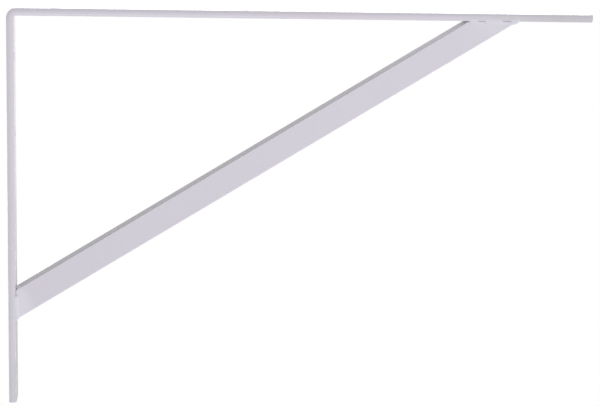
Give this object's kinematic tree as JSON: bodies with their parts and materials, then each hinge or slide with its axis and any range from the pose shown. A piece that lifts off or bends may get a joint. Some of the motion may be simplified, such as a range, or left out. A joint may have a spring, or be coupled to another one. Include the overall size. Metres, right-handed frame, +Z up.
{
  "type": "shelf bracket",
  "caption": "Welded steel shelf bracket: a flat bar bent square into a long shelf leg and a shorter wall leg, tied by a diagonal square tube brace, all coated white.",
  "frame": {"origin": "on the wall face, midway across the bar and midway between the top and the bottom wall screw", "axes": "+X out from the wall along the shelf leg, +Y across the bar, +Z up"},
  "size_m": [0.508, 0.0258, 0.3428],
  "materials": {
    "white_coated_steel": "smooth white powder coat, satin, over welded mild steel"
  },
  "bodies": {
    "root": {"bent_bar": "white_coated_steel", "brace_tube": "white_coated_steel", "wall_weld_left": "white_coated_steel", "wall_weld_right": "white_coated_steel", "shelf_weld_left": "white_coated_steel", "shelf_weld_right": "white_coated_steel"}
  },
  "joints": []
}
